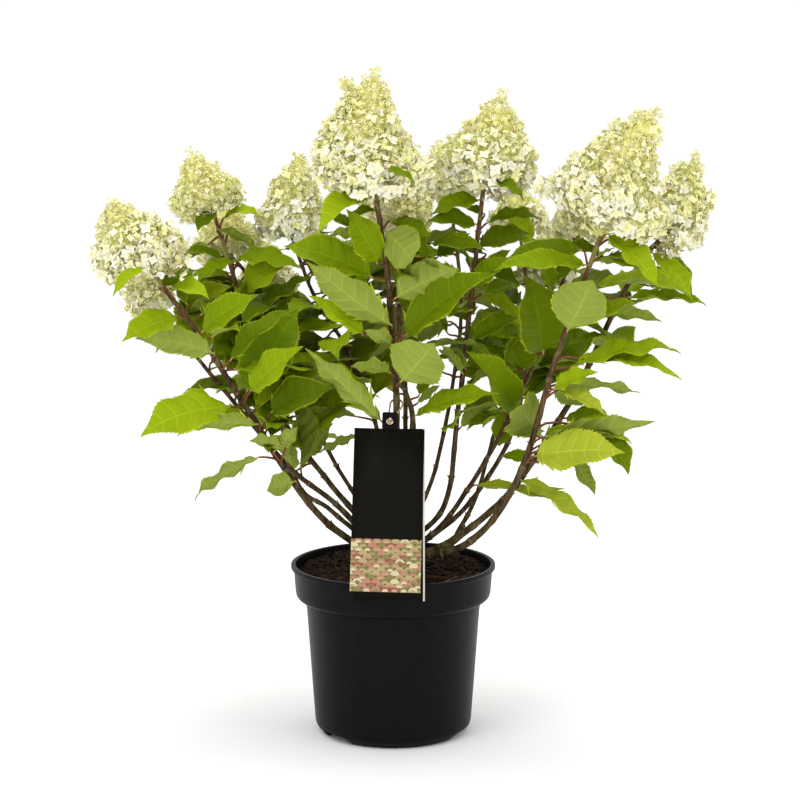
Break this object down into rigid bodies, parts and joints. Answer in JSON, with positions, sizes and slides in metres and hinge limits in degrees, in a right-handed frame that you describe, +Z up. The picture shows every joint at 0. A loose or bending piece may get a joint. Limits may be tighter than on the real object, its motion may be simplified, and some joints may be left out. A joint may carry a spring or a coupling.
{
  "type": "potted hydrangea shrub",
  "caption": "Potted panicle hydrangea shrub: branching woody stems rise from a round nursery pot into a loose crown of leaves topped with cone-shaped blooms, with a hang tag.",
  "frame": {"origin": "centre of the pot's flat underside, where it stands on the ground", "axes": "+Z up; the front of the plant, with the hanging tag, faces -Y; +X is to the right seen from the front"},
  "size_m": [0.6673, 0.47, 0.749],
  "materials": {
    "pot_plastic": "satin",
    "compost": "matte",
    "bark": "matte",
    "foliage": "satin",
    "blossom": "matte",
    "card": "satin",
    "twine": "matte"
  },
  "bodies": {
    "root": {"bloom_back_centre": "blossom", "bloom_back_left": "blossom", "bloom_back_right": "blossom", "bloom_behind_left": "blossom", "bloom_behind_right": "blossom", "bloom_centre": "blossom", "bloom_centre_inner": "blossom", "bloom_far_left": "blossom", "bloom_far_right": "blossom", "bloom_front_right": "blossom", "bloom_inner_left": "blossom", "bloom_inner_right": "blossom", "bloom_low_back_right": "blossom", "bloom_low_left": "blossom", "bloom_upper_left": "blossom", "bloom_upper_right": "blossom", "compost": "compost", "leaves_back_left": "foliage", "leaves_back_right": "foliage", "leaves_centre_back": "foliage", "leaves_centre_front": "foliage", "leaves_far_left": "foliage", "leaves_far_right": "foliage", "leaves_front_low": "foliage", "leaves_inner_left": "foliage", "leaves_inner_right": "foliage", "leaves_low_left": "foliage", "leaves_low_right": "foliage", "leaves_upper_left": "foliage", "leaves_upper_right": "foliage", "pot": "pot_plastic", "stem_back_centre": "bark", "stem_back_left": "bark", "stem_back_right": "bark", "stem_behind_left": "bark", "stem_behind_right": "bark", "stem_centre": "bark", "stem_centre_inner": "bark", "stem_far_left": "bark", "stem_far_right": "bark", "stem_front_right": "bark", "stem_inner_left": "bark", "stem_inner_right": "bark", "stem_low_back_right": "bark", "stem_low_left": "bark", "stem_upper_left": "bark", "stem_upper_right": "bark", "tag_back": "card", "tag_front": "card", "tag_string": "twine", "woody_arm": "bark", "woody_base": "bark"}
  },
  "joints": []
}
